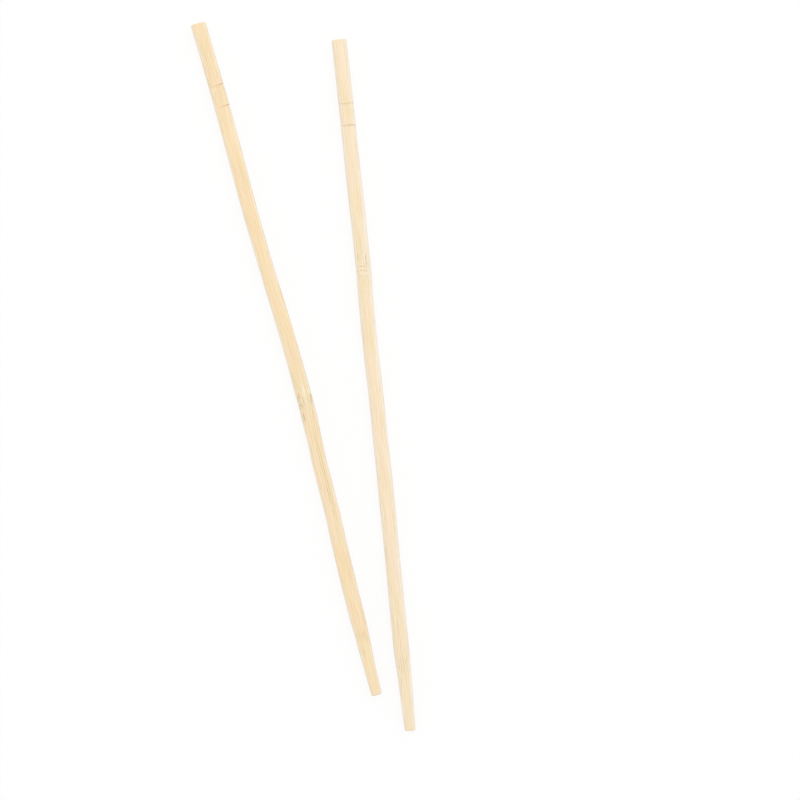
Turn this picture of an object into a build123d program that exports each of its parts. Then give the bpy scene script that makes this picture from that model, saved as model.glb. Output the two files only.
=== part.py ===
from build123d import *
from math import cos, pi, radians, tan
import os

# A pair of disposable bamboo chopsticks, laid out on a table with the tips towards the viewer.
# Each stick is one piece: a squared bar planed from a strip of bamboo, with bevelled long edges, a slight
# bend and swelling where the strip crosses a node of the culm, two grooves near the head and a short
# ground taper. Sizes are in millimetres and degrees. Distances along a stick run from its head, the
# thick end, unless the name says otherwise. A drift is how far the centre line lies to the right of the
# straight line from head to tip.

# The bar that both sticks are planed to
STICK_LENGTH = 230.0
BAR_WIDTH = 4.9
BAR_THICKNESS = 4.6
UNDER_BEVEL = 0.6
HEAD_EASE = 0.3

# The taper that the tip is ground to
TAPER_LENGTH = 26.5
TIP_WIDTH = 3.4
TIP_THICKNESS = 3.2
TIP_EASE = 0.5

# The swelling that planing leaves at a node
NODE_LENGTH = 22.0
NODE_SWELL = 0.15

# The two grooves across the head: a steep wall towards the head and a gentle one towards the tip
GROOVE_PITCH = 7.25
GROOVE_DEPTH = 0.3
GROOVE_STEEP = 0.2
GROOVE_GENTLE = 0.9

# The left stick, grooved on its upper face and right side, by a cutter that leans to the right and so
# leaves the left side whole
LEFT_LEFT_BEVEL = 0.85
LEFT_RIGHT_BEVEL = 0.5
LEFT_GROOVE_AT = 21.3
LEFT_GROOVE_SLANT = 7.0
LEFT_GROOVE_LEAN = 5.0
LEFT_SIDE_CUT = 0.35
LEFT_NODE_FROM_TIP = 99.0
LEFT_DRIFT_HEAD = -0.85
LEFT_DRIFT_GROOVES = -0.2
LEFT_DRIFT_UPPER = 0.17
LEFT_DRIFT_NODE_START = 1.6
LEFT_DRIFT_NODE_END = 1.4
LEFT_DRIFT_LOWER = 0.65
LEFT_DRIFT_TAPER = 0.05
LEFT_DRIFT_TIP = -0.2

# The right stick, grooved on its upper face and both sides, and nearly straight
RIGHT_LEFT_BEVEL = 1.0
RIGHT_RIGHT_BEVEL = 0.95
RIGHT_GROOVE_AT = 21.05
RIGHT_GROOVE_SLANT = -1.5
RIGHT_GROOVE_LEAN = 0.0
RIGHT_SIDE_CUT = 0.15
RIGHT_NODE_AT = 77.5
RIGHT_DRIFT_HEAD = -0.55
RIGHT_DRIFT_GROOVES = -0.3
RIGHT_DRIFT_UPPER = -0.2
RIGHT_DRIFT_NODE_START = 0.0
RIGHT_DRIFT_NODE_END = -0.2
RIGHT_DRIFT_LOWER = 0.1
RIGHT_DRIFT_TAPER = 0.03
RIGHT_DRIFT_TIP = 0.25

# How the pair lies: each stick's turn from straight up, and the right tip's place beside the left one
LEFT_TILT = 14.75
RIGHT_TILT = 5.7
TIP_SPACING = 10.7
TIP_STAGGER = 11.9

# Even stations keep the loft of the bar free of ripples
BAR_STATIONS = 41

TAPER_AT = STICK_LENGTH - TAPER_LENGTH
TIP_SCALE = TIP_WIDTH / BAR_WIDTH
TIP_LIFT = (BAR_THICKNESS - TIP_THICKNESS) / 2


def cross_plane(drift, along):
    """The plane square to the stick at a height along it, with its own y axis pointing up."""
    return Plane(origin=(drift, along, 0), x_dir=(1, 0, 0), z_dir=(0, -1, 0))


def bar_section(width, thickness, lift, bevels, under_bevel, skirt=0.0):
    """The bar's outline, lift above the table. A skirt carries the two lower bevels on downwards."""
    side = width / 2
    top = lift + thickness
    left_bevel, right_bevel = bevels
    corners = [
        (under_bevel + skirt - side, lift - skirt),
        (side - under_bevel - skirt, lift - skirt),
        (side, lift + under_bevel),
        (side, top - right_bevel),
        (side - right_bevel, top),
        (left_bevel - side, top),
        (-side, top - left_bevel),
        (-side, lift + under_bevel),
    ]
    return make_face(Polyline(*corners, close=True))


def spine_of(groove_at, node_at, drifts):
    """The stick's centre line seen from above: two gently bowed lengths that meet in a bend at the node."""
    grooves = groove_at + GROOVE_PITCH / 2
    node_start = node_at - NODE_LENGTH / 2
    node_end = node_at + NODE_LENGTH / 2
    upper = (grooves + node_start) / 2
    lower = (node_end + TAPER_AT) / 2
    places = [0, grooves, upper, node_start, node_end, lower, TAPER_AT, STICK_LENGTH]
    return Spline(*[(drift, STICK_LENGTH - place) for drift, place in zip(drifts, places)])


def section_plane(spine, distance):
    """The cross plane of the stick at a distance from its head, centred on its centre line."""
    drift = spine.position_at(distance, PositionMode.LENGTH).X
    return cross_plane(drift, STICK_LENGTH - distance)


def swell_at(distance, node_at):
    """The extra width and height at the node, a smooth hump that is zero at both of its ends."""
    offset = min(abs(distance - node_at) / (NODE_LENGTH / 2), 1.0)
    return NODE_SWELL * (1 + cos(pi * offset)) / 2


def bar(spine, node_at, bevels):
    """The stick from its eased head to the start of the taper, with a true flat underside on the table."""
    skirt = UNDER_BEVEL / 2
    step = (TAPER_AT - HEAD_EASE) / (BAR_STATIONS - 1)
    sections = []
    for i in range(BAR_STATIONS):
        distance = HEAD_EASE + step * i
        swell = swell_at(distance, node_at)
        outline = bar_section(BAR_WIDTH + swell, BAR_THICKNESS + swell, 0, bevels, UNDER_BEVEL, skirt)
        sections.append(section_plane(spine, distance) * outline)
    below_table = Pos(0, STICK_LENGTH / 2, -skirt) * Box(8 * BAR_WIDTH, 2 * STICK_LENGTH, 2 * skirt)
    return loft(sections) - below_table


def head_end(spine, bevels):
    """The square cut head, with its rim eased."""
    rim = bar_section(
        BAR_WIDTH - 2 * HEAD_EASE, BAR_THICKNESS - 2 * HEAD_EASE, HEAD_EASE, bevels, UNDER_BEVEL
    )
    full = bar_section(BAR_WIDTH, BAR_THICKNESS, 0, bevels, UNDER_BEVEL)
    return loft([section_plane(spine, 0) * rim, section_plane(spine, HEAD_EASE) * full], ruled=True)


def tip_end(spine, bevels):
    """The taper, ground evenly on all sides so that the tip stands clear of the table, and its eased end."""
    tip_bevels = [bevel * TIP_SCALE for bevel in bevels]
    tip_under = UNDER_BEVEL * TIP_SCALE
    start = bar_section(BAR_WIDTH, BAR_THICKNESS, 0, bevels, UNDER_BEVEL)
    full = bar_section(TIP_WIDTH, TIP_THICKNESS, TIP_LIFT, tip_bevels, tip_under)
    rim = bar_section(
        TIP_WIDTH - 2 * TIP_EASE, TIP_THICKNESS - 2 * TIP_EASE, TIP_LIFT + TIP_EASE, tip_bevels, tip_under
    )
    return loft(
        [
            section_plane(spine, TAPER_AT) * start,
            section_plane(spine, STICK_LENGTH - TIP_EASE) * full,
            section_plane(spine, STICK_LENGTH) * rim,
        ],
        ruled=True,
    )


def waist(along, share, bevels, lean, side_cut, left_grooved):
    """A section of the bar that a groove leaves. Share is -1 at its deepest and 1 well clear of the bar,
    and a lean to the right makes the groove deeper there."""
    left_bevel, right_bevel = bevels
    side = BAR_WIDTH / 2 + share * side_cut
    left_side = side if left_grooved else BAR_WIDTH / 2 + left_bevel
    face_left = left_bevel - left_side
    face_right = side - right_bevel
    top_left = BAR_THICKNESS + share * (GROOVE_DEPTH + tan(radians(lean)) * face_left)
    top_right = BAR_THICKNESS + share * (GROOVE_DEPTH + tan(radians(lean)) * face_right)
    corners = [
        (-left_side, -GROOVE_DEPTH),
        (side, -GROOVE_DEPTH),
        (side, top_right - right_bevel),
        (face_right, top_right),
        (face_left, top_left),
        (-left_side, top_left - left_bevel),
    ]
    return cross_plane(0, along) * make_face(Polyline(*corners, close=True))


def groove_cutter(bevels, lean, side_cut, left_grooved):
    """A slab less a waisted bar: a V across the top and sides, with its upper edge at y = 0."""
    upper_end = GROOVE_STEEP
    deepest = -GROOVE_STEEP
    lower_end = deepest - 2 * GROOVE_GENTLE
    shares = {upper_end: 1, deepest: -1, lower_end: 1}
    sections = [
        waist(along, share, bevels, lean, side_cut, left_grooved) for along, share in shares.items()
    ]
    slab = Box(4 * BAR_WIDTH, upper_end - lower_end, 2 * BAR_THICKNESS)
    slab = Pos(0, (upper_end + lower_end) / 2, BAR_THICKNESS) * slab
    return slab - loft(sections, ruled=True)


def chopstick(node_at, drifts, bevels, groove_at, groove_slant, groove_lean, side_cut, left_grooved):
    """One stick, flat on the table with its tip at the origin and its head along +Y."""
    spine = spine_of(groove_at, node_at, drifts)
    stick = bar(spine, node_at, bevels) + head_end(spine, bevels) + tip_end(spine, bevels)
    cutter = groove_cutter(bevels, groove_lean, side_cut, left_grooved)
    for distance in (groove_at, groove_at + GROOVE_PITCH):
        centre = section_plane(spine, distance).origin
        stick -= Pos(centre.X, centre.Y, 0) * Rot(0, 0, groove_slant) * cutter
    return stick


left = chopstick(
    node_at=STICK_LENGTH - LEFT_NODE_FROM_TIP,
    drifts=[
        LEFT_DRIFT_HEAD,
        LEFT_DRIFT_GROOVES,
        LEFT_DRIFT_UPPER,
        LEFT_DRIFT_NODE_START,
        LEFT_DRIFT_NODE_END,
        LEFT_DRIFT_LOWER,
        LEFT_DRIFT_TAPER,
        LEFT_DRIFT_TIP,
    ],
    bevels=(LEFT_LEFT_BEVEL, LEFT_RIGHT_BEVEL),
    groove_at=LEFT_GROOVE_AT,
    groove_slant=LEFT_GROOVE_SLANT,
    groove_lean=LEFT_GROOVE_LEAN,
    side_cut=LEFT_SIDE_CUT,
    left_grooved=False,
)
right = chopstick(
    node_at=RIGHT_NODE_AT,
    drifts=[
        RIGHT_DRIFT_HEAD,
        RIGHT_DRIFT_GROOVES,
        RIGHT_DRIFT_UPPER,
        RIGHT_DRIFT_NODE_START,
        RIGHT_DRIFT_NODE_END,
        RIGHT_DRIFT_LOWER,
        RIGHT_DRIFT_TAPER,
        RIGHT_DRIFT_TIP,
    ],
    bevels=(RIGHT_LEFT_BEVEL, RIGHT_RIGHT_BEVEL),
    groove_at=RIGHT_GROOVE_AT,
    groove_slant=RIGHT_GROOVE_SLANT,
    groove_lean=RIGHT_GROOVE_LEAN,
    side_cut=RIGHT_SIDE_CUT,
    left_grooved=True,
)

# Lay the pair out, then put the origin under the middle of the two
left = Rot(0, 0, LEFT_TILT) * left
right = Pos(TIP_SPACING, -TIP_STAGGER, 0) * Rot(0, 0, RIGHT_TILT) * right
middle = Compound([left, right]).bounding_box().center()
to_origin = Pos(-middle.X, -middle.Y, 0)

os.makedirs("parts", exist_ok=True)
for name, stick in (("chopstick_left", left), ("chopstick_right", right)):
    export_step(to_origin * stick, f"parts/{name}.step")
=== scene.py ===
from math import cos, radians, sin, tan

import bpy
import numpy as np
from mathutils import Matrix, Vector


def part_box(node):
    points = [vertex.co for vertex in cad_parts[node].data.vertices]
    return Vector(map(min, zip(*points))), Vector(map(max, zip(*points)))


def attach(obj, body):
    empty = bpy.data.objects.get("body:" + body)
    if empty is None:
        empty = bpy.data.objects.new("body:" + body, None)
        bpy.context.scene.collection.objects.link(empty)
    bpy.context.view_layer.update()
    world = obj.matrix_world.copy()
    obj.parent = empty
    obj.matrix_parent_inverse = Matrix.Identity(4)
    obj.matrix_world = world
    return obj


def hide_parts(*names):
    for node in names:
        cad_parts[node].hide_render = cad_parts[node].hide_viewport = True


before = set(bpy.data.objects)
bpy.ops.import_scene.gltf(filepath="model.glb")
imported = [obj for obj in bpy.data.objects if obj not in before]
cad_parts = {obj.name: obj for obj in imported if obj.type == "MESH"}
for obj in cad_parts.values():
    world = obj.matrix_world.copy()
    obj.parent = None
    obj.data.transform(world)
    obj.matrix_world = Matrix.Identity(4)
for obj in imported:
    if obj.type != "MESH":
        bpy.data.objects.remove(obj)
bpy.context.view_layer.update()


# Both chopsticks, the planed bar: each is one strip of bamboo culm, planed square with bevelled edges,
# cut with two grooves near the head and ground to a short taper at the tip. They are bare and lie loose.
# All sizes are in millimetres, and distances run from the head.

MILLIMETRE = 0.001

STICK_LENGTH = 230.0
BAR_WIDTH = 4.9
BAR_THICKNESS = 4.6
UNDER_BEVEL = 0.6
CORNERS = 8
TOP_RIGHT_CORNER = 4
TOP_LEFT_CORNER = 5
EDGE_EASE = 0.22
EASE_CHANGE = 0.5
EASE_CHANGE_LENGTH = 7.0
LONGEST_EASE = 0.4
FACE_CROWN = 0.07

HEAD_EASE = 0.3
TIP_EASE = 0.5
TAPER_LENGTH = 26.5
TAPER_AT = STICK_LENGTH - TAPER_LENGTH
TIP_WIDTH = 3.4
TIP_THICKNESS = 3.2
TIP_LIFT = (BAR_THICKNESS - TIP_THICKNESS) / 2

NODE_LENGTH = 22.0
NODE_SWELL = 0.15

# The grooves: a steep wall, a gentle one, torn edges, painted shade in them, a darker brownish tan in
# patches and strongest where they are deepest, and a painted highlight on the edge above each
GROOVES = 2
GROOVE_PITCH = 7.25
GROOVE_DEPTH = 0.3
GROOVE_STEEP = 0.2
GROOVE_GENTLE = 0.9
GROOVE_WANDER = 0.1
GROOVE_TEAR = 0.45
GROOVE_UNEVEN = 0.2
GROOVE_LIP = 0.4
LIP_HIGHLIGHT = 0.2
GROOVE_SHADE_DEPTH = 0.45
GROOVE_SHADE_POWER = 1.5
GROOVE_SHADE_PATCH = 0.9
GROOVE_SHADE_UNEVEN = 0.22
LEAST_CUT = 1e-6

# The fibres that planing leaves standing, and the coarser unevenness of the planed face
FIBRE_RELIEF = 0.012
FIBRE_WIDTH = 0.35
FIBRE_LENGTH = 16.0
FACE_RELIEF = 0.02
FACE_PATCH_WIDTH = 1.6
FACE_PATCH_LENGTH = 22.0

# Height counts for this much beside width when the fibres round the bar are told apart
GIRTH_SLOPE = 0.7

# The marks: slits where fibres part, torn fibres that stand up pale, and swirled grain at the node. Slits
# and pale fibres keep to the upper part of the bar, and come in between these shares of its height.
SLIT_DEPTH = 0.06
PALE_HEIGHT = 0.04
MARK_WANDER = 0.05
MARK_WANDER_WIDTH = 2.0
MARK_WANDER_LENGTH = 2.5
MARK_BREAK_WIDTH = 0.2
MARK_BREAK_LENGTH = 2.4
MARK_LEAST = 0.5
MARKS_FROM = 0.3
MARKS_FULL = 0.63
SWIRL = 0.3
SWIRL_REACH = 5.0
SWIRL_WIDTH = 1.3
SWIRL_LENGTH = 2.6

# By how much the surface faces up: less than the first value is bevel, below the second it is all bevel,
# and from the third down to zero it passes into the side. It fades out where the ends are eased. The bevels
# so found are painted paler, partly for their paler inner fibres and partly as painted light that lifts the
# shade they fall into.
BEVEL_FROM = 0.97
BEVEL_FULL = 0.77
BEVEL_TO_SIDE = 0.5

# A second, flatter cut of the plane fades out along the stick
FACET_FROM = 20.0
FACET_FADE = 40.0

# The mesh: stations along the stick, finer steps across the face than on the sides and underside, and
# the rings that close each end. Stations crowd near the ends, the grooves and the node: each pair is the
# reach to both sides, and how much denser they stand there.
STATIONS = 690
END_CROWD = (1.0, 5.0)
GROOVE_CROWD = (1.4, 4.0)
NODE_CROWD = (NODE_LENGTH / 2, 1.5)
DENSITY_STEP = 0.02
FACE_STEP = 0.08
SIDE_STEP = 0.28
EDGE_STEPS = np.array([SIDE_STEP] * 3 + [FACE_STEP] * 3 + [SIDE_STEP] * 2)
CORNER_STEPS = 3
END_RINGS = np.array([0.18, 0.36, 0.54, 0.72, 0.88])
END_EDGE = 8.0
NOISE_CELLS = 256
WHOLE_STRAND = 40.0
UV_ROWS = 4
UV_MARGIN = 0.02


def smooth_step(values):
    """0 below 0, 1 above 1, and 3v^2 - 2v^3 between."""
    v = np.clip(values, 0.0, 1.0)
    return v * v * (3.0 - 2.0 * v)


def strand_noise(across, along, cell_width, cell_length, seed):
    """Random numbers from -1 to 1 at the corners of a lattice of cells, blended by a smooth step."""
    lattice = np.random.default_rng(seed).uniform(-1.0, 1.0, (NOISE_CELLS, NOISE_CELLS))
    u = across / cell_width
    v = along / cell_length
    column = np.floor(u).astype(int)
    row = np.floor(v).astype(int)
    right_share = smooth_step(u - column)
    far_share = smooth_step(v - row)
    left, right = column % NOISE_CELLS, (column + 1) % NOISE_CELLS
    near, far = row % NOISE_CELLS, (row + 1) % NOISE_CELLS
    near_value = lattice[left, near] * (1 - right_share) + lattice[right, near] * right_share
    far_value = lattice[left, far] * (1 - right_share) + lattice[right, far] * right_share
    return near_value * (1 - far_share) + far_value * far_share


def bells(bumps, distance):
    """The sum of smooth bumps along the stick. A bump is (distance, reach, size), and is its size times
    exp(-d^2), where d is the way from its middle in reaches."""
    total = np.zeros_like(distance)
    for place, reach, size in bumps:
        total += size * np.exp(-(((distance - place) / reach) ** 2))
    return total


def centre_line(places, drifts, distance):
    """The bow seen from above: the natural cubic spline through the drifts at their places. The bends at
    the places solve one linear system, and each span is the cubic that has the bends of its two ends."""
    places = np.asarray(places)
    drifts = np.asarray(drifts)
    span = np.diff(places)
    inner = np.arange(1, len(places) - 1)
    system = np.eye(len(places))
    system[inner, inner - 1] = span[:-1]
    system[inner, inner] = 2 * (span[:-1] + span[1:])
    system[inner, inner + 1] = span[1:]
    slope_change = np.zeros(len(places))
    slope_change[1:-1] = 6 * np.diff(np.diff(drifts) / span)
    bend = np.linalg.solve(system, slope_change)
    k = np.clip(np.searchsorted(places, distance) - 1, 0, len(span) - 1)
    to_end = places[k + 1] - distance
    from_start = distance - places[k]
    curved = (bend[k] * to_end**3 + bend[k + 1] * from_start**3) / (6 * span[k])
    start_line = (drifts[k] / span[k] - bend[k] * span[k] / 6) * to_end
    end_line = (drifts[k + 1] / span[k] - bend[k + 1] * span[k] / 6) * from_start
    return curved + start_line + end_line


def stations_along(groove_places, node_at):
    """Distances from the head in equal steps of the running total of a density, which is 1 on plain bar and
    higher at the two ends, in the grooves and at the node."""
    groove_middle = (GROOVE_STEEP + GROOVE_GENTLE) / 2
    crowded = [(0.0, *END_CROWD), (STICK_LENGTH, *END_CROWD), (node_at, *NODE_CROWD)]
    for groove_at in groove_places:
        crowded.append((groove_at + groove_middle, *GROOVE_CROWD))
    fine = np.arange(0.0, STICK_LENGTH + DENSITY_STEP / 2, DENSITY_STEP)
    density = np.ones_like(fine)
    for place, reach, extra in crowded:
        density += extra * (np.abs(fine - place) < reach)
    total = np.concatenate([[0.0], np.cumsum((density[1:] + density[:-1]) / 2)])
    return np.interp(np.linspace(0.0, total[-1], STATIONS), total, fine)


def end_inset(distance):
    """How far the outline draws in near the ends: a quarter circle of the ease's radius at each."""
    to_head = np.clip(1 - distance / HEAD_EASE, 0, 1)
    to_tip = np.clip(1 - (STICK_LENGTH - distance) / TIP_EASE, 0, 1)
    return HEAD_EASE * (1 - np.sqrt(1 - to_head**2)) + TIP_EASE * (1 - np.sqrt(1 - to_tip**2))


def bar_sizes(distance, node_at, swellings):
    """The bar's width, thickness, height off the table, scale of bevels and end inset at each station. All
    change evenly along the taper, and the node swells as one wave of a cosine."""
    to_tip = np.clip((distance - TAPER_AT) / TAPER_LENGTH, 0, 1)
    node_share = np.clip(np.abs(distance - node_at) / (NODE_LENGTH / 2), 0, 1)
    swell = NODE_SWELL * (1 + np.cos(np.pi * node_share)) / 2
    inset = end_inset(distance)
    width = BAR_WIDTH + (TIP_WIDTH - BAR_WIDTH) * to_tip + swell + bells(swellings, distance) - 2 * inset
    thickness = BAR_THICKNESS + (TIP_THICKNESS - BAR_THICKNESS) * to_tip + swell - 2 * inset
    lift = TIP_LIFT * to_tip + inset
    bevel_scale = 1 + (TIP_WIDTH / BAR_WIDTH - 1) * to_tip
    return width, thickness, lift, bevel_scale, inset


def section_corners(width, thickness, lift, bevels, under_bevel):
    """The outline's corners at each station, anticlockwise from the lower left, as x and z columns."""
    side = width / 2
    top = lift + thickness
    left_bevel, right_bevel = bevels
    lower = lift + under_bevel
    lower_x = [under_bevel - side, side - under_bevel, side]
    upper_x = [side, side - right_bevel, left_bevel - side, -side, -side]
    lower_z = [lift, lift, lower]
    upper_z = [top - right_bevel, top, top, top - left_bevel, lower]
    return np.stack(lower_x + upper_x, axis=1), np.stack(lower_z + upper_z, axis=1)


def eased_outline(corner_x, corner_z, ease):
    """Runs round the corners. Each is cut back by the ease along both of its edges and bridged by a
    parabola with the corner as its control point, and the flats between the bridges are straight."""
    corners = np.stack([corner_x, corner_z], axis=2)
    edges = np.roll(corners, -1, axis=1) - corners
    lengths = np.linalg.norm(edges, axis=2, keepdims=True)
    cut_back = np.minimum(ease, LONGEST_EASE * lengths) / lengths
    leave = corners + edges * cut_back
    arrive = np.roll(corners, -1, axis=1) - edges * cut_back
    flat_steps = np.maximum(2, np.round(np.median(lengths[:, :, 0], axis=0) / EDGE_STEPS)).astype(int)
    bridge = np.linspace(0, 1, CORNER_STEPS + 1)[:, None]
    columns = []
    for k in range(CORNERS):
        start = arrive[:, k - 1, None]
        corner = corners[:, k, None]
        end = leave[:, k, None]
        columns.append((1 - bridge) ** 2 * start + 2 * bridge * (1 - bridge) * corner + bridge**2 * end)
        share = np.arange(1, flat_steps[k])[:, None] / flat_steps[k]
        columns.append(end * (1 - share) + arrive[:, k, None] * share)
    outline = np.concatenate(columns, axis=1)
    return outline[:, :, 0], outline[:, :, 1]


def outward(x, z):
    """The way out of the section at each point, as x and z parts: square to the line from the point before
    it to the point after it."""
    along_x = np.roll(x, -1, axis=1) - np.roll(x, 1, axis=1)
    along_z = np.roll(z, -1, axis=1) - np.roll(z, 1, axis=1)
    size = np.hypot(along_x, along_z)
    return along_z / size, -along_x / size


def cut_groove(x, z, distance, side, top, bevels, groove_at, slant, lean, side_cut, left_grooved, seed):
    """Cuts the bar down to a waisted one: the top, the sides and the bevels between them move in by the
    share of a V that has its deepest line one steep wall below its upper edge, and a lean makes the top's
    cut deeper to the right. Returns x, z, the painted shade in the groove, which is a power of the depth in
    patches, and the painted highlight on the edge above it."""
    girth = x + GIRTH_SLOPE * z
    wander = GROOVE_WANDER * strand_noise(girth, distance, GROOVE_TEAR, WHOLE_STRAND, seed)
    below = distance - (groove_at - tan(radians(slant)) * x + wander)
    steep = below / GROOVE_STEEP
    gentle = (GROOVE_STEEP + GROOVE_GENTLE - below) / GROOVE_GENTLE
    share = np.clip(np.minimum(steep, gentle), 0, 1)
    tear = 1 + strand_noise(girth, distance, GROOVE_TEAR, WHOLE_STRAND, seed + 1)
    share = share * (1 - GROOVE_UNEVEN * tear)
    depth = np.maximum(0, GROOVE_DEPTH + tan(radians(lean)) * x) * share
    left_bevel, right_bevel = bevels
    top = top - depth
    right_side = side - side_cut * share
    left_side = side - side_cut * share if left_grooved else side
    before = x + z
    z = np.minimum(z, top)
    x = np.minimum(x, right_side)
    x = np.maximum(x, -left_side)
    over_right = np.maximum(0, x + z - (right_side + top - right_bevel)) * (share > 0)
    x = x - over_right / 2
    z = z - over_right / 2
    if left_grooved:
        over_left = np.maximum(0, z - x - (left_side + top - left_bevel)) * (share > 0)
        x = x + over_left / 2
        z = z - over_left / 2
    touched = np.abs(before - x - z) > LEAST_CUT
    # Painted shade in the groove: darker where it is deeper, in patches
    patch = 1 + strand_noise(girth, distance, GROOVE_SHADE_PATCH, WHOLE_STRAND, seed + 2)
    patch = 1 - GROOVE_SHADE_UNEVEN * patch
    groove_shade = np.clip(depth / GROOVE_SHADE_DEPTH, 0, 1) ** GROOVE_SHADE_POWER * patch * touched
    # A painted highlight on the edge above the groove, rising towards it
    lip_highlight = smooth_step(1 + below / GROOVE_LIP) * (below < 0)
    return x, z, groove_shade, lip_highlight


def soft_marks(marks, across, distance, broken=1.0):
    """The strongest of a set of marks at each point. A mark is (distance, across, half length, half width,
    strength), and falls off as exp(-along^4 - across^4) from its middle, measured in its half sizes. The
    marks that run along the stick are multiplied by the given breaks, and crosswise ones are whole."""
    strongest = np.zeros_like(across)
    for place, offset, half_length, half_width, strength in marks:
        along_part = ((distance - place) / half_length) ** 4
        across_part = ((across - offset) / half_width) ** 4
        share = strength * np.exp(-along_part - across_part)
        strongest = np.maximum(strongest, share * broken if half_length > half_width else share)
    return strongest


def with_ends(values):
    """Adds the rings of the two cut ends, where values pass from those round the outline to their mean."""
    rings = END_RINGS[:, None]
    head_mean, tip_mean = values[[0, -1]].mean(axis=1)
    head = values[:1] * rings + head_mean * (1 - rings)
    tip = values[-1:] * rings[::-1] + tip_mean * (1 - rings[::-1])
    return np.concatenate([head, values, tip])


def bowed(x, z, distance, drifts, kinks, groove_at, node_at):
    """Slides each section sideways by the centre line through the drifts and by the kinks. The drifts are
    given at the ends, grooves, node and taper, and half way along the two plain lengths between them."""
    grooves_middle = groove_at + GROOVE_PITCH / 2
    node_start = node_at - NODE_LENGTH / 2
    node_end = node_at + NODE_LENGTH / 2
    upper_middle = (grooves_middle + node_start) / 2
    lower_middle = (node_end + TAPER_AT) / 2
    places = [0.0, grooves_middle, upper_middle, node_start]
    places += [node_end, lower_middle, TAPER_AT, STICK_LENGTH]
    drift = centre_line(places, drifts, distance) + bells(kinks, distance)
    return np.stack([x + drift, STICK_LENGTH - distance, z], axis=2)


def straight_grain(x, z, distance, node_at, seed):
    """Each point's place in the straight strip. Round the node a noise moves it across, so that the grain
    swirls there, by a share that falls off as exp(-d^2), where d is the way from the node in reaches."""
    near_node = np.exp(-(((distance - node_at) / SWIRL_REACH) ** 2))
    swirl = SWIRL * near_node * strand_noise(x, distance, SWIRL_WIDTH, SWIRL_LENGTH, seed + 12)
    return np.stack([x + swirl, distance, z], axis=2)


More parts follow.
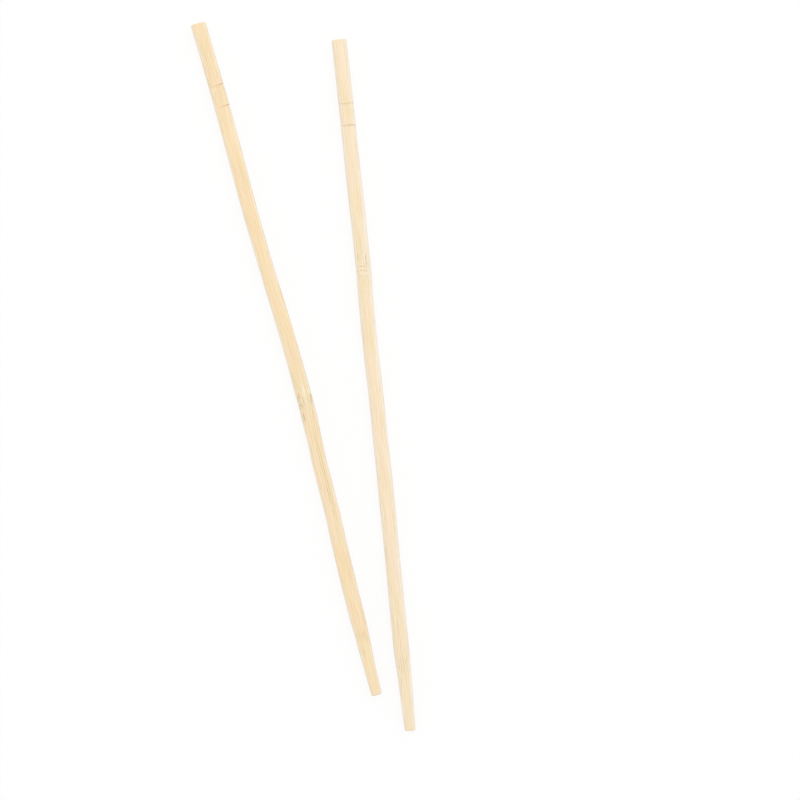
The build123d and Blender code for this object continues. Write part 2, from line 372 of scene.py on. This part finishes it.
def stick_surface(
    drifts, kinks, swellings, bevels, facet, groove_at, slant, lean, side_cut, left_grooved, node_at,
    slits, pale_marks, olive_marks, rosy_marks, golden_marks, frays, seed,
):
    """The whole stick as a grid of stations by points round the outline: a straight strip that gets its
    relief, its facet, its grooves and its ends, and is then bowed. Returns the bowed points, each point's
    place in the straight grain, and the share of each kind of mark."""
    groove_places = [groove_at + GROOVE_PITCH * k for k in range(GROOVES)]
    distance = stations_along(groove_places, node_at)
    width, thickness, lift, bevel_scale, inset = bar_sizes(distance, node_at, swellings)
    bevel_rows = [bevel * bevel_scale for bevel in bevels]
    corner_x, corner_z = section_corners(width, thickness, lift, bevel_rows, UNDER_BEVEL * bevel_scale)
    edge_numbers = np.arange(CORNERS)[None, :]
    ease = strand_noise(edge_numbers, distance[:, None], 1.0, EASE_CHANGE_LENGTH, seed)
    ease = EDGE_EASE * (1 + EASE_CHANGE * ease)
    x, z = eased_outline(corner_x, corner_z, ease[:, :, None] * bevel_scale[:, None, None])
    out_x, out_z = outward(x, z)
    rows = distance[:, None] + np.zeros_like(x)
    height_share = (z - lift[:, None]) / thickness[:, None]
    upper = smooth_step((height_share - MARKS_FROM) / (MARKS_FULL - MARKS_FROM))

    # The marks wander a little across the stick and break off along their fibres
    marked_x = x + MARK_WANDER * strand_noise(x, rows, MARK_WANDER_WIDTH, MARK_WANDER_LENGTH, seed + 4)
    broken = strand_noise(x, rows, MARK_BREAK_WIDTH, MARK_BREAK_LENGTH, seed + 11)
    broken = MARK_LEAST + (1 - MARK_LEAST) * smooth_step(0.5 + broken)
    bevel_share = smooth_step((BEVEL_FROM - out_z) / (BEVEL_FROM - BEVEL_FULL))
    bevel_share = bevel_share * np.clip(1 - inset[:, None] / HEAD_EASE, 0, 1)
    marks = {
        "slit": soft_marks(slits, marked_x, rows, broken) * upper,
        "pale": soft_marks(pale_marks, marked_x, rows, broken) * upper,
        "olive": soft_marks(olive_marks, marked_x, rows),
        "rosy": soft_marks(rosy_marks, marked_x, rows),
        "golden": soft_marks(golden_marks, marked_x, rows),
        "fray": bells(frays, rows),
        "bevel": bevel_share * smooth_step(out_z / BEVEL_TO_SIDE) * upper,
        # Painted shade: the fibre colour laid deeper towards the stick's left, as if the light came from
        # the right
        "painted_left_shade": np.clip(0.5 - x / BAR_WIDTH, 0, 1),
        "groove_shade": np.zeros_like(x),
    }

    # The face is a little crowned, as the outside of the culm is, and planing leaves it uneven
    face_left = corner_x[:, TOP_LEFT_CORNER, None]
    face_right = corner_x[:, TOP_RIGHT_CORNER, None]
    face_share = (2 * x - face_left - face_right) / (face_right - face_left)
    crown = FACE_CROWN * np.clip(1 - face_share**2, 0, 1) * (height_share > MARKS_FULL)
    girth = x + GIRTH_SLOPE * z
    relief = FIBRE_RELIEF * strand_noise(girth, rows, FIBRE_WIDTH, FIBRE_LENGTH, seed + 2)
    relief += FACE_RELIEF * strand_noise(girth, rows, FACE_PATCH_WIDTH, FACE_PATCH_LENGTH, seed + 3)
    relief = relief * smooth_step(z / UNDER_BEVEL) + crown
    relief += PALE_HEIGHT * marks["pale"] - SLIT_DEPTH * marks["slit"]
    x = x + out_x * relief
    z = z + out_z * relief

    # The facet and the grooves are cut into the finished face
    side = width[:, None] / 2
    top = (lift + thickness)[:, None]
    facet_edge, facet_tilt = facet
    facet_slope = tan(radians(facet_tilt)) * (1 - smooth_step((rows - FACET_FROM) / FACET_FADE))
    z = np.where(x < facet_edge, np.minimum(z, top + FACE_CROWN - facet_slope * (facet_edge - x)), z)
    for k, cut_at in enumerate(groove_places):
        cut_seed = seed + 5 + 3 * k
        x, z, groove_shade, lip_highlight = cut_groove(
            x, z, rows, side, top, bevels, cut_at, slant, lean, side_cut, left_grooved, cut_seed
        )
        marks["groove_shade"] = np.maximum(marks["groove_shade"], groove_shade)
        # The painted highlight above each groove is laid in with the pale marks
        marks["pale"] = np.maximum(marks["pale"], LIP_HIGHLIGHT * lip_highlight * upper)

    x, z, rows = with_ends(x), with_ends(z), with_ends(rows)
    marks = {label: with_ends(values) for label, values in marks.items()}
    end_share = np.clip(END_EDGE * (1 - END_RINGS), 0, 1)
    end_share = np.concatenate([end_share, np.zeros(STATIONS), end_share[::-1]])
    marks["end"] = end_share[:, None] + np.zeros_like(x)
    points = bowed(x, z, rows, drifts, kinks, groove_at, node_at)
    return points, straight_grain(x, z, rows, node_at, seed), marks


def lay_on_table(points, tilt, node):
    """Turns the stick about the upright axis, then slides it so that its box and its CAD node's box share
    their middle. It stays on the table, and millimetres become metres."""
    turn = radians(tilt)
    turned_x = points[:, :, 0] * cos(turn) - points[:, :, 1] * sin(turn)
    turned_y = points[:, :, 0] * sin(turn) + points[:, :, 1] * cos(turn)
    laid = np.stack([turned_x, turned_y, points[:, :, 2]], axis=2) * MILLIMETRE
    node_middle = np.mean(np.array(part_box(node)), axis=0)
    flat = laid.reshape(-1, 3)
    shift = node_middle - (flat.min(axis=0) + flat.max(axis=0)) / 2
    shift[2] = -flat[:, 2].min()
    return laid + shift


def stick_object(name, laid, grain, marks):
    """Joins the grid into a closed surface that faces outwards: quads between neighbouring stations, and a
    fan to the middle of each end. The map OFBake lays the unrolled surface in rows, so that its short side
    isn't squeezed."""
    stations, around = laid.shape[:2]
    ids = np.arange(stations * around).reshape(stations, around)
    next_ids = np.roll(ids, -1, axis=1)
    quads = np.stack([ids[:-1], next_ids[:-1], next_ids[1:], ids[1:]], axis=2).reshape(-1, 4)
    head_pole, tip_pole = stations * around, stations * around + 1
    head_fan = np.stack([np.full(around, head_pole), next_ids[0], ids[0]], axis=1)
    tip_fan = np.stack([np.full(around, tip_pole), ids[-1], next_ids[-1]], axis=1)

    def with_poles(values):
        """The grid's values in one list, followed by the mean of each end ring for its pole."""
        poles = values[[0, -1]].mean(axis=1).reshape(2, -1)
        return np.concatenate([values.reshape(stations * around, -1), poles])

    mesh = bpy.data.meshes.new(name)
    faces = quads.tolist() + head_fan.tolist() + tip_fan.tolist()
    mesh.from_pydata(with_poles(laid).tolist(), [], faces)
    mesh.shade_smooth()
    place = mesh.attributes.new("grain", "FLOAT_VECTOR", "POINT")
    place.data.foreach_set("vector", with_poles(grain).ravel())
    for label, values in marks.items():
        layer = mesh.attributes.new(label, "FLOAT", "POINT")
        layer.data.foreach_set("value", with_poles(values).ravel())

    # Unrolled places: the run along the surface, over the ends as well, and the share of the way round
    steps = np.linalg.norm(np.diff(laid, axis=0), axis=2).mean(axis=1)
    run = np.concatenate([[0.0], np.cumsum(steps)]) + steps[0]
    run = run / (run[-1] + steps[-1])
    girth = np.linalg.norm(np.roll(laid, -1, axis=1) - laid, axis=2).mean(axis=0)
    round_share = np.concatenate([[0.0], np.cumsum(girth)]) / girth.sum()
    row_of = np.minimum((UV_ROWS * (run[:-1] + run[1:]) / 2).astype(int), UV_ROWS - 1)[:, None]

    def in_row(run_share, share_round, row):
        """A place on the map: u rises with the run along its row, and v falls with the way round."""
        u = UV_MARGIN + (1 - 2 * UV_MARGIN) * (run_share * UV_ROWS - row)
        v = (row + 1 - UV_MARGIN - (1 - 2 * UV_MARGIN) * share_round) / UV_ROWS
        return np.stack(np.broadcast_arrays(u, v), axis=-1)

    near, far = run[:-1, None], run[1:, None]
    this_side, next_side = round_share[None, :-1], round_share[None, 1:]
    quad_corners = [(near, this_side), (near, next_side), (far, next_side), (far, this_side)]
    quad_uv = np.stack([in_row(*corner, row_of) for corner in quad_corners], axis=2)
    between = (this_side + next_side) / 2
    last = UV_ROWS - 1
    head_corners = [(0.0, between), (run[0], next_side), (run[0], this_side)]
    tip_corners = [(1.0, between), (run[-1], this_side), (run[-1], next_side)]
    head_uv = np.stack([in_row(*corner, 0) for corner in head_corners], axis=2)
    tip_uv = np.stack([in_row(*corner, last) for corner in tip_corners], axis=2)
    skin_uv = [uv.reshape(-1, 2) for uv in (quad_uv, head_uv, tip_uv)]
    layer = mesh.uv_layers.new(name="OFBake")
    layer.data.foreach_set("uv", np.concatenate(skin_uv).ravel())

    stick = bpy.data.objects.new(name, mesh)
    bpy.context.collection.objects.link(stick)
    return stick


# Both chopsticks, the bare bamboo: planed and left without varnish. It is pale straw yellow and matt, with
# a weak silky gloss, fine long fibres in deeper yellow, patches that lean to rose or gold, and slits where
# the fibres part. Painted shade lays the fibre colour deeper towards each stick's left, darkens the slits
# and tints the grooves a darker tan; the bevels are paler, partly from their inner fibres and partly from
# painted light, and a painted highlight lies above each groove.

BAMBOO_IOR = 1.5
SMOOTH_ROUGHNESS = 0.5
FIBRE_ROUGHNESS = 0.66
# The slits are shallow cuts in the mesh, and their darkness is painted shade
SLIT_SHADE_HEX = "#6B5A3E"
# The colour of the painted shade in the grooves
GROOVE_SHADE_HEX = "#A87C4C"
FLECK_HEX = "#C2A878"
END_DOT_HEX = "#B08C58"
# A fibre bundle is about 0.15 mm wide, and is drawn twice as wide so that it shows at this distance
BUNDLE_SPACING = (0.55, 60.0, 0.55)
STREAK_SIZE = (0.35, 15.0, 0.35)
BAND_SIZE = (1.4, 90.0, 1.4)
HUE_PATCH_SIZE = (2.2, 15.0, 2.2)
# The broken ends of fibres are drawn twice as wide as well. They show all over, and more where it frays.
FLECK_SIZE = (0.24, 3.2, 0.24)
DARK_FLECKS = 0.2
DARK_FRAY = 0.25
PALE_FLECKS = 0.36
PALE_FRAY = 0.4
BUMP_HEIGHT = 0.03
BUMP_STRENGTH = 0.4

# Each pattern: its texture and output, the size of its cells, and the values that become 0 and 1
PATTERN_DETAIL = 2.0
PATTERNS = {
    "bundles": ("ShaderNodeTexVoronoi", "Distance", BUNDLE_SPACING, 0.4, 0.15),
    "streaks": ("ShaderNodeTexNoise", "Fac", STREAK_SIZE, 0.4, 0.7),
    "bands": ("ShaderNodeTexNoise", "Fac", BAND_SIZE, 0.35, 0.65),
    "rosy patches": ("ShaderNodeTexNoise", "Fac", HUE_PATCH_SIZE, 0.5, 0.65),
    "golden patches": ("ShaderNodeTexNoise", "Fac", HUE_PATCH_SIZE, 0.5, 0.65),
    "dark flecks": ("ShaderNodeTexNoise", "Fac", FLECK_SIZE, 0.54, 0.68),
    "pale flecks": ("ShaderNodeTexNoise", "Fac", FLECK_SIZE, 0.54, 0.68),
}


def linear(hex_colour):
    """An sRGB hex colour as linear red, green, blue and alpha, by the sRGB transfer curve."""
    srgb = np.array([int(hex_colour[i : i + 2], 16) for i in (1, 3, 5)]) / 255
    straight = np.where(srgb <= 0.04045, srgb / 12.92, ((srgb + 0.055) / 1.055) ** 2.4)
    return (*straight.tolist(), 1.0)


def add_node(tree, kind, inputs, **settings):
    """Adds a node with its settings. An input given a socket is linked, and any other value is set."""
    node = tree.nodes.new(kind)
    for label, value in settings.items():
        setattr(node, label, value)
    for socket, value in inputs.items():
        if isinstance(value, bpy.types.NodeSocket):
            tree.links.new(value, node.inputs[socket])
        else:
            node.inputs[socket].default_value = value
    return node


def planed_bamboo(
    name, marks, face, fibre, band, rose, gold, olive, blush, honey, bevel, pale, groove_shade_strength, seed
):
    """Bare planed bamboo. Textures on the straight grain, each stretched to a real size, give the fibres,
    the bands and the patches of hue. These and the marks held by the mesh are shares, by which one colour
    after another is laid over the face's own."""
    material = bpy.data.materials.new(name)
    material.use_nodes = True
    tree = material.node_tree
    tree.nodes.clear()

    grain = add_node(tree, "ShaderNodeAttribute", {}, attribute_name="grain").outputs["Vector"]
    shares = {}
    for label in marks:
        shares[label] = add_node(tree, "ShaderNodeAttribute", {}, attribute_name=label).outputs["Fac"]
    for offset, (label, pattern) in enumerate(PATTERNS.items()):
        kind, output, size, low, high = pattern
        scale = [1 / length for length in size]
        place = {"Vector": grain, "Location": (seed + offset, seed, seed), "Scale": scale}
        place = add_node(tree, "ShaderNodeMapping", place).outputs[0]
        texture = add_node(tree, kind, {"Vector": place, "Scale": 1.0, "Detail": PATTERN_DETAIL})
        step = {"Value": texture.outputs[output], "From Min": low, "From Max": high}
        step = add_node(tree, "ShaderNodeMapRange", step, interpolation_type="SMOOTHSTEP")
        shares[label] = step.outputs[0]

    # Flecks grow stronger where it frays, and on the ends the bundles are cut across and show as dots
    dark_strength = {0: shares["fray"], 1: DARK_FRAY, 2: DARK_FLECKS}
    dark_strength = add_node(tree, "ShaderNodeMath", dark_strength, operation="MULTIPLY_ADD").outputs[0]
    pale_strength = {0: shares["fray"], 1: PALE_FRAY, 2: PALE_FLECKS}
    pale_strength = add_node(tree, "ShaderNodeMath", pale_strength, operation="MULTIPLY_ADD").outputs[0]
    end_dots = {0: shares["bundles"], 1: shares["end"]}
    end_dots = add_node(tree, "ShaderNodeMath", end_dots, operation="MULTIPLY").outputs[0]

    # Each layer: its colour, its share, and the strength at a full share
    layers = [
        (band, shares["bands"], 0.6),
        (rose, shares["rosy patches"], 0.7),
        (gold, shares["golden patches"], 0.7),
        (blush, shares["rosy"], 0.8),
        (olive, shares["olive"], 0.8),
        (honey, shares["golden"], 0.8),
        # painted shade towards the left of each stick
        (fibre, shares["painted_left_shade"], 0.35),
        # paler bevels: partly their inner fibres, partly painted light against their shade
        (bevel, shares["bevel"], 0.75),
        (fibre, shares["bundles"], 0.6),
        (fibre, shares["streaks"], 0.7),
        (FLECK_HEX, shares["dark flecks"], dark_strength),
        (pale, shares["pale flecks"], pale_strength),
        (END_DOT_HEX, end_dots, 0.6),
        (pale, shares["pale"], 0.9),
        # painted shade in the grooves
        (GROOVE_SHADE_HEX, shares["groove_shade"], groove_shade_strength),
        # painted shade in the slits
        (SLIT_SHADE_HEX, shares["slit"], 1.0),
    ]
    colour = linear(face)
    for over_hex, share, strength in layers:
        amount = add_node(tree, "ShaderNodeMath", {0: share, 1: strength}, operation="MULTIPLY").outputs[0]
        mix = {0: amount, 6: colour, 7: linear(over_hex)}
        colour = add_node(tree, "ShaderNodeMix", mix, data_type="RGBA").outputs[2]

    rough = {"Value": shares["streaks"], "To Min": SMOOTH_ROUGHNESS, "To Max": FIBRE_ROUGHNESS}
    rough = add_node(tree, "ShaderNodeMapRange", rough).outputs[0]
    heights = {0: shares["bundles"], 1: shares["streaks"]}
    heights = add_node(tree, "ShaderNodeMath", heights, operation="ADD").outputs[0]
    bump = {"Height": heights, "Strength": BUMP_STRENGTH, "Distance": BUMP_HEIGHT * MILLIMETRE}
    bump = add_node(tree, "ShaderNodeBump", bump, invert=True).outputs[0]
    shader = {"Base Color": colour, "Roughness": rough, "IOR": BAMBOO_IOR, "Normal": bump}
    shader = add_node(tree, "ShaderNodeBsdfPrincipled", shader).outputs[0]
    add_node(tree, "ShaderNodeOutputMaterial", {"Surface": shader})
    return material


# The left chopstick: grooved on its face and right side by a cutter that leaned that way, with a second,
# flatter plane along the left of its head. It bows to the right where the strip crosses a node of the culm,
# and there the fibres part in thin slits, darkened with painted shade.

LEFT_TILT = 14.75

# A bump is (distance, reach, size), and a mark is (distance, across, half length, half width, strength)
left_points, left_grain, left_marks = stick_surface(
    drifts=[-0.85, -0.2, 0.17, 1.6, 1.4, 0.65, 0.05, -0.2],
    kinks=[(133.0, 7.0, 0.12), (150.5, 5.0, -0.13), (168.5, 6.0, 0.16), (209.0, 6.0, 0.11)],
    swellings=[
        (115.0, 300.0, 0.05),
        (38.0, 16.0, 0.09),
        (80.0, 11.0, -0.2),
        (122.0, 9.0, 0.12),
        (136.5, 4.0, 0.14),
        (145.0, 4.5, -0.16),
        (157.0, 9.0, -0.06),
        (192.0, 12.0, 0.1),
        (222.0, 7.0, -0.1),
    ],
    bevels=(0.85, 0.5),
    facet=(-0.6, 6.0),
    groove_at=21.3,
    slant=7.0,
    lean=5.0,
    side_cut=0.35,
    left_grooved=False,
    node_at=131.0,
    slits=[
        (128.4, -2.15, 1.2, 0.08, 0.9),
        (131.2, -2.12, 1.2, 0.07, 0.8),
        (129.6, -1.8, 1.4, 0.07, 0.8),
        (127.9, -1.45, 0.9, 0.08, 0.85),
        (131.5, -1.5, 1.1, 0.07, 0.7),
        (130.6, -1.1, 1.3, 0.07, 0.7),
        (129.8, -0.52, 1.7, 0.07, 0.85),
        (128.75, 2.25, 0.8, 0.11, 1.0),
        (131.1, 1.85, 1.2, 0.09, 1.0),
        (130.2, 2.25, 0.8, 0.08, 0.75),
        (135.4, -2.15, 1.7, 0.07, 0.8),
        (135.2, -1.6, 1.7, 0.07, 0.8),
        (156.5, 0.36, 19.0, 0.07, 0.42),
        (157.5, 1.05, 18.0, 0.07, 0.34),
        (12.5, -0.75, 8.0, 0.08, 0.38),
        (9.5, -1.15, 2.4, 0.07, 0.3),
        (209.4, -0.75, 1.8, 0.07, 0.3),
        (210.7, -0.3, 1.8, 0.07, 0.28),
        (209.8, 0.2, 1.6, 0.07, 0.26),
        (210.5, 0.65, 1.8, 0.07, 0.3),
        (209.6, 1.05, 1.6, 0.07, 0.3),
        (210.4, 1.45, 1.6, 0.07, 0.28),
        (214.4, -1.4, 1.4, 0.07, 0.34),
        (214.9, -0.85, 1.4, 0.07, 0.28),
        (214.5, -0.3, 1.6, 0.07, 0.32),
    ],
    pale_marks=[
        (126.5, 0.5, 2.2, 0.26, 1.0),
        (135.9, -1.92, 1.4, 0.13, 0.9),
        (130.9, 2.35, 0.7, 0.16, 0.9),
        (130.0, -0.9, 1.5, 0.13, 0.9),
        (129.4, -1.35, 1.0, 0.11, 0.85),
        (129.8, -2.03, 1.4, 0.1, 0.85),
        (131.0, 0.3, 1.2, 0.15, 0.5),
        (22.8, -0.9, 0.5, 0.8, 0.3),
        (49.0, -2.2, 20.0, 0.45, 0.4),
        (169.0, -2.2, 31.0, 0.45, 0.4),
        (210.2, -0.52, 1.4, 0.1, 0.4),
        (210.0, 0.85, 1.3, 0.1, 0.4),
        (214.6, -1.12, 1.3, 0.1, 0.5),
        (223.0, 0.0, 11.0, 11.1, 0.2),
    ],
    olive_marks=[
        (127.5, 0.0, 11.0, 3.0, 0.9),
        (154.0, 1.1, 21.0, 0.9, 0.9),
        (108.5, -1.5, 6.0, 1.2, 0.7),
    ],
    rosy_marks=[
        (150.0, -1.2, 19.0, 1.1, 0.8),
        (9.0, -1.2, 10.0, 1.0, 0.8),
        (131.5, 0.5, 3.5, 1.0, 0.7),
        (224.0, 0.2, 6.0, 1.5, 0.5),
    ],
    golden_marks=[
        (156.0, 0.7, 18.0, 0.26, 0.55),
        (135.5, 1.4, 2.5, 0.4, 0.7),
        (129.0, 1.7, 1.6, 0.5, 0.5),
        (11.0, 1.0, 8.0, 0.9, 0.5),
        (25.0, 0.3, 2.8, 1.8, 0.4),
        (212.0, 0.3, 5.0, 1.6, 0.35),
        (221.0, 0.5, 8.0, 1.5, 0.5),
    ],
    frays=[(129.0, 9.0, 1.0), (16.0, 8.0, 0.6), (26.0, 5.0, 0.4), (211.5, 6.0, 0.6)],
    seed=11,
)
left_laid = lay_on_table(left_points, LEFT_TILT, "chopstick_left")
left_stick = stick_object("bamboo_stick_left", left_laid, left_grain, left_marks)
left_bamboo = planed_bamboo(
    "planed_bamboo_left",
    marks=left_marks,
    face="#FEE7C3",
    fibre="#F2D3A1",
    band="#FBE1B6",
    rose="#FBE0C6",
    gold="#FAE4B2",
    olive="#F4E3BC",
    blush="#FBE6C9",
    honey="#F3DDA2",
    bevel="#FFF3DD",
    pale="#FFF4DE",
    groove_shade_strength=0.34,
    seed=3.0,
)
left_stick.data.materials.append(left_bamboo)
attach(left_stick, "root")
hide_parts("chopstick_left")


# The right chopstick: its twin, grooved on the face and on both sides and nearly straight. It is a shade
# paler, and its node is nearer the head, where planing has cut through the ring and left a crosswise line
# and a pale ridge.

RIGHT_TILT = 5.7

right_points, right_grain, right_marks = stick_surface(
    drifts=[-0.55, -0.3, -0.2, 0.0, -0.2, 0.1, 0.03, 0.25],
    kinks=[(77.5, 4.0, 0.13), (117.5, 9.0, 0.12), (212.0, 8.0, 0.09)],
    swellings=[
        (115.0, 300.0, 0.115),
        (58.0, 6.0, 0.1),
        (80.0, 8.0, -0.17),
        (119.0, 9.0, -0.12),
        (154.0, 10.0, 0.13),
        (199.0, 14.0, 0.19),
        (223.0, 7.0, 0.06),
    ],
    bevels=(1.0, 0.95),
    facet=(0.0, 0.0),
    groove_at=21.05,
    slant=-1.5,
    lean=0.0,
    side_cut=0.15,
    left_grooved=True,
    node_at=77.5,
    slits=[
        (68.3, -0.15, 3.2, 0.07, 0.3),
        (72.6, -1.45, 1.1, 0.08, 0.45),
        (72.6, 1.15, 0.8, 0.1, 0.4),
        (74.8, 1.15, 0.75, 0.1, 0.5),
        (73.7, 0.95, 1.8, 0.07, 0.25),
        (75.45, -0.43, 0.16, 0.95, 0.24),
        (76.8, -0.5, 0.18, 1.2, 0.12),
        (77.2, 0.9, 0.14, 0.6, 0.16),
        (77.0, -2.0, 0.7, 0.1, 0.2),
        (78.8, 0.6, 0.2, 0.4, 0.14),
        (78.0, -1.6, 1.4, 0.08, 0.2),
        (196.0, -0.55, 2.5, 0.08, 0.35),
        (207.3, -1.37, 3.0, 0.08, 0.3),
        (207.5, -0.67, 2.6, 0.08, 0.28),
        (207.8, 0.16, 2.8, 0.08, 0.25),
        (208.0, 0.98, 2.2, 0.08, 0.25),
        (213.8, -1.2, 1.4, 0.08, 0.3),
    ],
    pale_marks=[
        (72.6, 0.47, 2.1, 0.12, 0.6),
        (74.85, -0.7, 0.16, 0.7, 0.4),
        (76.1, -0.65, 0.28, 1.0, 0.55),
        (77.6, -0.75, 0.35, 0.85, 0.5),
        (77.8, 1.0, 0.75, 0.4, 0.6),
        (77.6, 2.1, 0.35, 0.2, 0.6),
        (73.6, -1.75, 0.5, 0.15, 0.8),
        (80.8, 0.47, 2.0, 0.1, 0.5),
        (86.0, -0.46, 3.6, 0.09, 0.7),
        (194.0, -1.0, 2.6, 0.12, 0.6),
        (205.5, -1.0, 3.0, 0.1, 0.5),
        (206.0, -0.3, 3.0, 0.1, 0.4),
        (222.0, 0.0, 12.0, 12.1, 0.15),
    ],
    olive_marks=[
        (74.0, 0.0, 11.0, 3.0, 0.6),
        (70.5, -0.5, 4.6, 0.85, 0.9),
        (200.0, -1.2, 14.0, 1.3, 0.4),
    ],
    rosy_marks=[
        (80.0, -0.3, 1.6, 1.2, 0.8),
        (62.0, 1.2, 9.0, 1.0, 0.7),
        (219.0, 0.3, 9.0, 1.7, 0.4),
    ],
    golden_marks=[
        (70.5, -0.5, 4.6, 0.85, 0.35),
        (82.3, -0.9, 1.2, 0.4, 0.7),
        (82.3, 1.2, 1.0, 0.3, 0.5),
        (80.9, 0.2, 1.5, 1.2, 0.6),
        (86.8, -0.8, 5.6, 0.55, 0.9),
        (208.0, -1.0, 9.0, 1.1, 0.5),
        (215.0, 0.2, 13.0, 2.2, 0.6),
    ],
    frays=[(75.5, 5.0, 0.9), (21.0, 4.0, 0.5), (202.0, 11.0, 0.35)],
    seed=41,
)
right_laid = lay_on_table(right_points, RIGHT_TILT, "chopstick_right")
right_stick = stick_object("bamboo_stick_right", right_laid, right_grain, right_marks)
right_bamboo = planed_bamboo(
    "planed_bamboo_right",
    marks=right_marks,
    face="#FEEBCF",
    fibre="#F3D9AF",
    band="#FBE6C6",
    rose="#FCE4CF",
    gold="#F9E7BC",
    olive="#F5E5C0",
    blush="#FCE8D2",
    honey="#F4E0AC",
    bevel="#FFF7E8",
    pale="#FFF6E4",
    groove_shade_strength=0.68,
    seed=17.0,
)
right_stick.data.materials.append(right_bamboo)
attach(right_stick, "root")
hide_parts("chopstick_right")


# The table: a wide sheet of matt white paper that the sticks lie on. It is seen as white with a soft trace
# of their shadow, and sends back as much light as dull paper does.

TABLE_SIZE = 4.0
TABLE_SHADE = 0.12
PAPER_HEX = "#E2E2E2"

edge = TABLE_SIZE / 2
table_corners = [(-edge, -edge, 0), (edge, -edge, 0), (edge, edge, 0), (-edge, edge, 0)]
table_mesh = bpy.data.meshes.new("white_table")
table_mesh.from_pydata(table_corners, [], [(0, 1, 2, 3)])
table = bpy.data.objects.new("white_table", table_mesh)
bpy.context.collection.objects.link(table)

paper = bpy.data.materials.new("matt_white_paper")
paper.use_nodes = True
paper_tree = paper.node_tree
paper_tree.nodes.clear()
table_mesh.materials.append(paper)


def seen_directly(tree):
    """1 on rays from the camera and on those that a gloss or a clear body sends on, 0 on the rest."""
    rays = add_node(tree, "ShaderNodeLightPath", {})
    glossy = {0: rays.outputs["Is Camera Ray"], 1: rays.outputs["Is Glossy Ray"]}
    camera_or_glossy = add_node(tree, "ShaderNodeMath", glossy, operation="MAXIMUM").outputs[0]
    clear = {0: camera_or_glossy, 1: rays.outputs["Is Transmission Ray"]}
    return add_node(tree, "ShaderNodeMath", clear, operation="MAXIMUM").outputs[0]


paper_seen = seen_directly(paper_tree)
paper_colour = {0: paper_seen, 6: linear(PAPER_HEX), 7: linear("#FFFFFF")}
paper_colour = add_node(paper_tree, "ShaderNodeMix", paper_colour, data_type="RGBA").outputs[2]
lit_paper = add_node(paper_tree, "ShaderNodeBsdfDiffuse", {"Color": paper_colour})
white_paper = add_node(paper_tree, "ShaderNodeEmission", {"Color": linear("#FFFFFF"), "Strength": 1.0})
white_share = {0: paper_seen, 1: 1 - TABLE_SHADE}
white_share = add_node(paper_tree, "ShaderNodeMath", white_share, operation="MULTIPLY")
paper_mix = {0: white_share.outputs[0], 1: lit_paper.outputs[0], 2: white_paper.outputs[0]}
paper_mix = add_node(paper_tree, "ShaderNodeMixShader", paper_mix)
add_node(paper_tree, "ShaderNodeOutputMaterial", {"Surface": paper_mix.outputs[0]})


# The light: soft white light from all round, and one large softbox above and to the right of the heads,
# so that the left bevels fall a little into shade.

ROOM_LIGHT = 0.855
SOFTBOX_POWER = 3.6
SOFTBOX_SIZE = 0.9
SOFTBOX_PLACE = (0.28, 0.7, 1.15)

world = bpy.data.worlds.new("white_room")
bpy.context.scene.world = world
world.use_nodes = True
world_tree = world.node_tree
world_tree.nodes.clear()
room = add_node(world_tree, "ShaderNodeBackground", {"Color": linear("#FFFFFF"), "Strength": ROOM_LIGHT})
backdrop = add_node(world_tree, "ShaderNodeBackground", {"Color": linear("#FFFFFF"), "Strength": 1.0})
world_mix = {0: seen_directly(world_tree), 1: room.outputs[0], 2: backdrop.outputs[0]}
world_mix = add_node(world_tree, "ShaderNodeMixShader", world_mix)
add_node(world_tree, "ShaderNodeOutputWorld", {"Surface": world_mix.outputs[0]})

softbox_data = bpy.data.lights.new("softbox", "AREA")
softbox_data.size = SOFTBOX_SIZE
softbox_data.energy = SOFTBOX_POWER
softbox = bpy.data.objects.new("softbox", softbox_data)
softbox.location = SOFTBOX_PLACE
softbox.rotation_euler = (-softbox.location).to_track_quat("-Z", "Y").to_euler()
bpy.context.collection.objects.link(softbox)


# The camera: a long lens straight above, with the heads at the top of the picture. The middle of the
# square frame lies to the right of the pair, as the sticks fill the frame's left half.

FRAME_WIDTH = 265.07
FRAME_MIDDLE = (32.07, -7.73)
SEEN_HEIGHT = 2.5
LENS = 120.0
SENSOR = 36.0

camera_data = bpy.data.cameras.new("camera")
camera_data.lens = LENS
camera_data.sensor_width = SENSOR
camera = bpy.data.objects.new("camera", camera_data)
camera_height = SEEN_HEIGHT + FRAME_WIDTH * LENS / SENSOR
camera.location = [length * MILLIMETRE for length in (*FRAME_MIDDLE, camera_height)]
bpy.context.collection.objects.link(camera)
bpy.context.scene.camera = camera
bpy.context.scene.view_settings.view_transform = "Standard"
